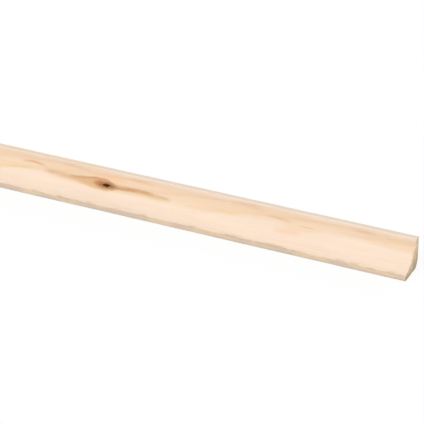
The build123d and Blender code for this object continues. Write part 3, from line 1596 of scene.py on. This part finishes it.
@dataclass
class CoveBatten:
    """The batten: one planed piece of softwood with two sawn ends."""

    length: float
    section: CoveSection = field(default_factory=CoveSection)
    knot: Knot = field(default_factory=Knot)
    row_step: float = 3.0 * MM
    knot_row_step: float = 0.4 * MM
    knot_reach: float = 9.0
    end_rows: tuple[float, ...] = (0.0, 0.25 * MM, 0.6 * MM, 1.2 * MM, 2.1 * MM)
    end_clear: float = 1.5
    end_rings: int = 12
    heart: tuple[float, float, float] = (0.0, 5.4 * MM, 3.6 * MM)
    arris_wear: float = 0.10 * MM
    saw_relief: float = 0.10 * MM
    edge_chips: float = 0.32 * MM
    torn_depth: float = 0.95 * MM
    torn_band: Span = (8.0 * MM, 17.6 * MM)
    fibre_share: float = 0.40
    fibre_length: float = 0.9 * MM
    fibre_width: float = 0.05 * MM
    map_strips: int = 4
    map_gap: float = 2.4 * MM
    seed: int = 11
    piece: bpy.types.Object | None = None

    def stations(self) -> np.ndarray:
        """Lists where the section is set along the batten: closely at the ends and at the knot.

        Returns:
            The places along X, from end to end.
        """
        half = self.length / 2
        ends = np.array(self.end_rows)
        near = (self.knot.along - self.knot_reach) * MM, (self.knot.along + self.knot_reach) * MM
        cuts = np.linspace(-half, half, self.map_strips + 1)
        count = round(self.length / self.row_step)
        usual = np.linspace(-half, half, count + 1)
        usual = usual[(np.abs(usual) < half - self.end_clear * ends[-1]) & ((usual < near[0]) | (usual > near[1]))]
        usual = usual[np.abs(usual[:, None] - cuts).min(axis=1) > self.row_step / 2]
        close = np.arange(near[0], near[1], self.knot_row_step)
        return np.unique(np.concatenate([ends - half, half - ends, usual, close, cuts[1:-1]]))

    def draw(self, outline: Outline, stations: np.ndarray) -> bpy.types.Object:
        """Makes the points that the sweep reads: the section's ring, and after it the stations.

        Args:
            outline: The section.
            stations: The places along the batten.

        Returns:
            An object that holds the points.
        """
        ring = np.column_stack([np.zeros(len(outline.points)), outline.points])
        line = np.column_stack([stations, np.zeros((len(stations), 2))])
        mesh = bpy.data.meshes.new("batten_layout")
        mesh.from_pydata(np.vstack([ring, line]).tolist(), [], [])
        ways = np.zeros((len(ring) + len(line), 3), np.float32)
        ways[: len(ring), 1:] = outline.outward
        worn = np.zeros(len(ways), np.float32)
        worn[: len(ring)] = outline.arris
        mesh.attributes.new("outward", "FLOAT_VECTOR", "POINT").data.foreach_set("vector", ways.ravel())
        mesh.attributes.new("arris", "FLOAT", "POINT").data.foreach_set("value", worn)
        return put(mesh.name, mesh)

    def sizes(self, columns: int, rows: int) -> dict[str, object]:
        """Lists the sweep's inputs.

        Args:
            columns: How many points the section has.
            rows: How many stations there are.

        Returns:
            The inputs' values by name, without the materials.
        """
        knot = self.knot
        knot_y, knot_z = self.section.on_cove(knot.across * MM)
        return {
            "Columns": columns,
            "Rows": rows,
            "End rings": self.end_rings,
            "Heart": self.heart,
            "Arris wear": self.arris_wear,
            "Saw relief": self.saw_relief,
            "Length": self.length,
            "Edge chips": self.edge_chips,
            "Torn depth": self.torn_depth,
            "Torn from": self.torn_band[0],
            "Torn to": self.torn_band[1],
            "Edge reach": self.end_rows[-1],
            "Knot": (knot.along * MM, float(knot_y), float(knot_z)),
            "Knot reach": tuple(size * MM for size in (*knot.core, knot.core[1])),
            "Knot sunk": knot.sunk * MM,
            "Fibre share": self.fibre_share,
            "Fibre length": self.fibre_length,
            "Fibre width": self.fibre_width,
            "Seed": self.seed,
        }

    def build(self, planed: bpy.types.Material, sawn: bpy.types.Material) -> bpy.types.Object:
        """Sweeps the batten, makes it a plain mesh and lays out its map.

        Args:
            planed: The finish of the long faces.
            sawn: The finish of the ends.

        Returns:
            The batten's object.
        """
        outline, stations = self.section.outline(), self.stations()
        layout = self.draw(outline, stations)
        tree = SweepTree()
        modifier = layout.modifiers.new("sweep", "NODES")
        modifier.node_group = tree.tree
        values = self.sizes(len(outline.points), len(stations)) | {"Planed": planed, "Sawn": sawn}
        for name, value in values.items():
            modifier[tree.identifiers[name]] = value
        depsgraph = bpy.context.evaluated_depsgraph_get()
        mesh = bpy.data.meshes.new_from_object(layout.evaluated_get(depsgraph), depsgraph=depsgraph)
        layout.modifiers.remove(modifier)
        bpy.data.objects.remove(layout)
        mesh.name = PIECE
        while mesh.materials[0] is None:
            mesh.materials.pop(index=0)
        self.piece = put(PIECE, mesh)
        self.lay_out_map(mesh, outline)
        return self.piece

    def lay_out_map(self, mesh: bpy.types.Mesh, outline: Outline) -> None:
        """Gives the batten a flat map at one scale: the long faces in strips, the ends and the fibres beside them.

        Args:
            mesh: The batten's mesh, with its faces numbered by the sweep.
            outline: The section that was swept.
        """
        number, fibre = (read_list(mesh.attributes[name].data, "value") for name in ("face_number", "fibre"))
        slot, sizes = (read_list(mesh.polygons, name) for name in ("material_index", "loop_total"))
        places = read_list(mesh.vertices, "co", 3, np.float32).reshape(-1, 3)
        places = places[read_list(mesh.loops, "vertex_index")].astype(float)
        face = np.repeat(np.arange(len(sizes)), sizes)
        middle = np.bincount(face, places[:, 0]) / sizes

        column = number[face] % len(outline.points)
        here, there = outline.points[column], outline.points[(column + 1) % len(outline.points)]
        nearer = np.linalg.norm(places[:, 1:] - there, axis=1) < np.linalg.norm(places[:, 1:] - here, axis=1)
        girth = np.where(nearer, outline.girth[column + 1], outline.girth[column])
        strip_length = self.length / self.map_strips
        strip = np.clip(((middle + self.length / 2) // strip_length), 0, self.map_strips - 1)[face]
        u = (strip + 1) * strip_length - places[:, 0] - self.length / 2 + self.map_gap
        v = strip * (outline.girth[-1] + self.map_gap) + girth + self.map_gap

        aside = strip_length + 2 * self.map_gap
        end = (slot[face] == Slot.SAWN.value) & (fibre[face] == 0)
        far = places[:, 0] > 0
        u = np.where(end, aside + np.where(far, 1, -1) * places[:, 1] + self.section.depth / 2, u)
        v = np.where(end, self.map_gap + places[:, 2] + far * (self.section.height + self.map_gap), v)
        loose = fibre[face] == 1
        above = 2 * (self.section.height + 2 * self.map_gap)
        u = np.where(loose, aside + places[:, 1] + self.section.depth / 2, u)
        v = np.where(loose, above + places[:, 2] + far * (self.section.height + self.map_gap), v)
        side = max(
            self.map_strips * (outline.girth[-1] + self.map_gap) + self.map_gap,
            aside + self.section.depth + self.map_gap,
        )
        layer = mesh.uv_layers.new(name="OFBake", do_init=False)
        layer.uv.foreach_set("vector", (np.column_stack([u, v]) / side).astype(np.float32).ravel())
        for name in ("face_number", "fibre", "sawn", "rim"):
            mesh.attributes.remove(mesh.attributes[name])

    def attach(self) -> None:
        """Sets the piece in the frame, in place of the plain solid."""
        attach(self.piece, "root")
        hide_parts(NODE)


@dataclass(frozen=True)
class Lamp:
    """One large soft lamp."""

    name: str
    place: tuple[float, float, float]
    aim: tuple[float, float, float]
    size: Span
    watts: float


@dataclass(frozen=True)
class Studio:
    """A plain white studio: floor, soft light and the camera of the reference view."""

    azimuth: float = 25.501
    elevation: float = 28.401
    distance: float = 1.064244
    from_end: float = 0.115243
    target_height: float = 0.009841
    focal_pixels: float = 1965.215
    frame_pixels: float = 424.0
    sensor: float = 36.0
    floor_size: float = 40.0
    floor_drop: float = 0.02 * MM
    floor_colour: Colour = (0.20, 0.20, 0.20)
    shadow_share: float = 0.16
    shadow_reach: Span = (0.02, 0.16)
    sky: float = 0.54
    lamps: tuple[Lamp, ...] = (
        Lamp("key", (-0.5, -2.35, 1.75), (0.1, 0.0, 0.0), (2.4, 1.8), 46.3),
        Lamp("fill", (2.6, -0.5, 0.75), (0.3, 0.0, 0.0), (1.6, 1.2), 25.0),
        Lamp("back", (0.0, 2.4, 0.8), (0.0, 0.0, 0.0), (2.4, 1.2), 26.0),
        Lamp("far_end", (-1.35, 0.25, 0.4), (-0.5, 0.0, 0.01), (0.6, 0.45), 2.5),
    )

    def build(self, length: float) -> None:
        """Makes the floor, the light and the camera.

        Args:
            length: The batten's length, whose +X end the camera looks at.
        """
        bpy.context.scene.view_settings.view_transform = "Standard"
        self.lay_floor(length)
        self.light()
        self.set_camera(length)

    def lay_floor(self, length: float) -> None:
        """Lays a floor that shows white to the camera and keeps a soft shadow near the batten.

        Args:
            length: The batten's length.
        """
        half = self.floor_size / 2
        mesh = bpy.data.meshes.new("floor")
        corners = [(x, y, -self.floor_drop) for x, y in ((-half, -half), (half, -half), (half, half), (-half, half))]
        mesh.from_pydata(corners, [], [(0, 1, 2, 3)])
        floor = put("floor", mesh)
        made = bpy.data.materials.new("studio_floor")
        made.use_nodes = True
        made.node_tree.nodes.clear()
        mat = Wiring(made.node_tree)
        x, y, _ = mat.split(mat.add("ShaderNodeTexCoord").outputs["Object"])
        past = mat.math("MAXIMUM", mat.math("SUBTRACT", mat.math("ABSOLUTE", x), length / 2), 0.0)
        share = mat.fade(mat.reach(past, y, 0.0), *self.shadow_reach, self.shadow_share, 0.0)
        shown = mat.mixed(share, mat.add("ShaderNodeEmission").outputs[0], mat.matt(WHITE))
        either = mat.mixed(mat.looked_at(), mat.matt(self.floor_colour), shown)
        mat.fill(mat.add("ShaderNodeOutputMaterial"), Surface=either)
        mesh.materials.append(made)

    def light(self) -> None:
        """Hangs the lamps and sets an even sky that shows white to the camera."""
        world = bpy.data.worlds.new("studio_sky")
        world.use_nodes = True
        sky = Wiring(world.node_tree)
        strength = sky.math("MULTIPLY_ADD", sky.looked_at(), 1.0 - self.sky, self.sky)
        sky.fill(world.node_tree.nodes["Background"], Color=(*WHITE, 1.0), Strength=strength)
        bpy.context.scene.world = world
        for lamp in self.lamps:
            data = bpy.data.lights.new(lamp.name, "AREA")
            data.shape = "RECTANGLE"
            data.size, data.size_y = lamp.size
            data.energy = lamp.watts
            hung = put(lamp.name, data)
            hung.visible_camera = False
            aim(hung, Vector(lamp.place), Vector(lamp.aim) - Vector(lamp.place))

    def set_camera(self, length: float) -> None:
        """Sets the camera at the reference view of the +X end.

        Args:
            length: The batten's length.
        """
        data = bpy.data.cameras.new("camera")
        data.sensor_width = self.sensor
        data.lens = self.sensor * self.focal_pixels / self.frame_pixels
        turn, tilt = math.radians(self.azimuth), math.radians(self.elevation)
        back = Vector((math.sin(turn) * math.cos(tilt), -math.cos(turn) * math.cos(tilt), math.sin(tilt)))
        camera = put("camera", data)
        aim(camera, Vector((length / 2 - self.from_end, 0.0, self.target_height)) + back * self.distance, -back)
        bpy.context.scene.camera = camera


def main() -> None:
    """Builds the batten and its studio, and reports the piece."""
    logging.basicConfig(level=logging.INFO, format="%(message)s")
    low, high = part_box(NODE)
    batten = CoveBatten(length=high.x - low.x, section=CoveSection(height=high.z - low.z, depth=high.y - low.y))
    groups = GrainGroups(batten.section, batten.knot)
    piece = batten.build(PlanedPine(groups).build(), SawnEndGrain(groups).build())
    batten.attach()
    mesh = piece.data
    mesh.calc_loop_triangles()
    LOG.info("%s: %d triangles, finishes %s", piece.name, len(mesh.loop_triangles), [m.name for m in mesh.materials])
    Studio().build(batten.length)


if __name__ == "__main__":
    main()
